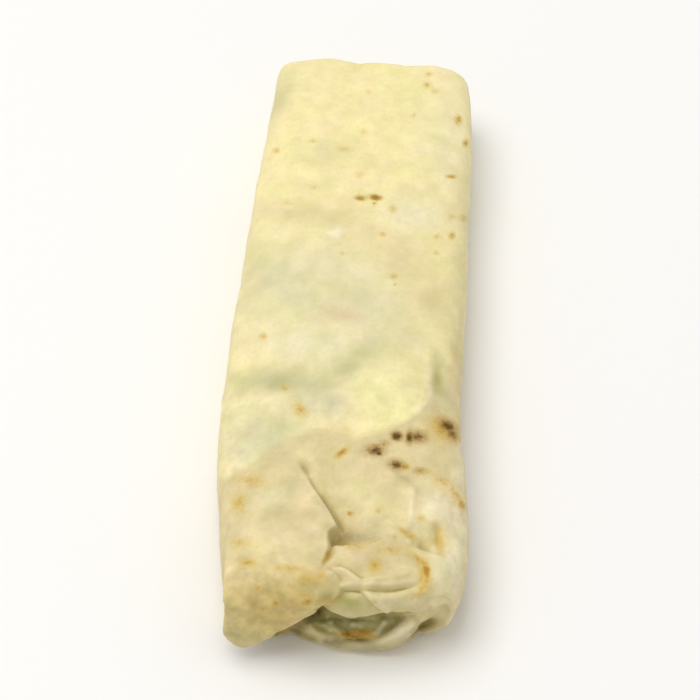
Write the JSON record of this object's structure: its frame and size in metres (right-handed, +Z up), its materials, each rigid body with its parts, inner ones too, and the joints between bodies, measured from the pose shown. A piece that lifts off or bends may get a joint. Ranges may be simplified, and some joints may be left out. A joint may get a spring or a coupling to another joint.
{
  "type": "cheese roll",
  "caption": "Flatbread sheet wrapped round a cheese and herb filling as a long flat roll, tucked shut at one end and loosely folded at the other.",
  "frame": {"origin": "centre of the roll's outline seen from above, at the height of the board it lies on", "axes": "+Z up, +Y along the roll towards its neat end, +X to the right when the roll is seen from its loose end"},
  "size_m": [0.0496, 0.1418, 0.0219],
  "materials": {
    "flatbread": "soft matt cooked dough with a faint sheen, pale yellow with green and grey tints and small toasted marks"
  },
  "bodies": {
    "root": {"cheese_roll": "flatbread"}
  },
  "joints": []
}
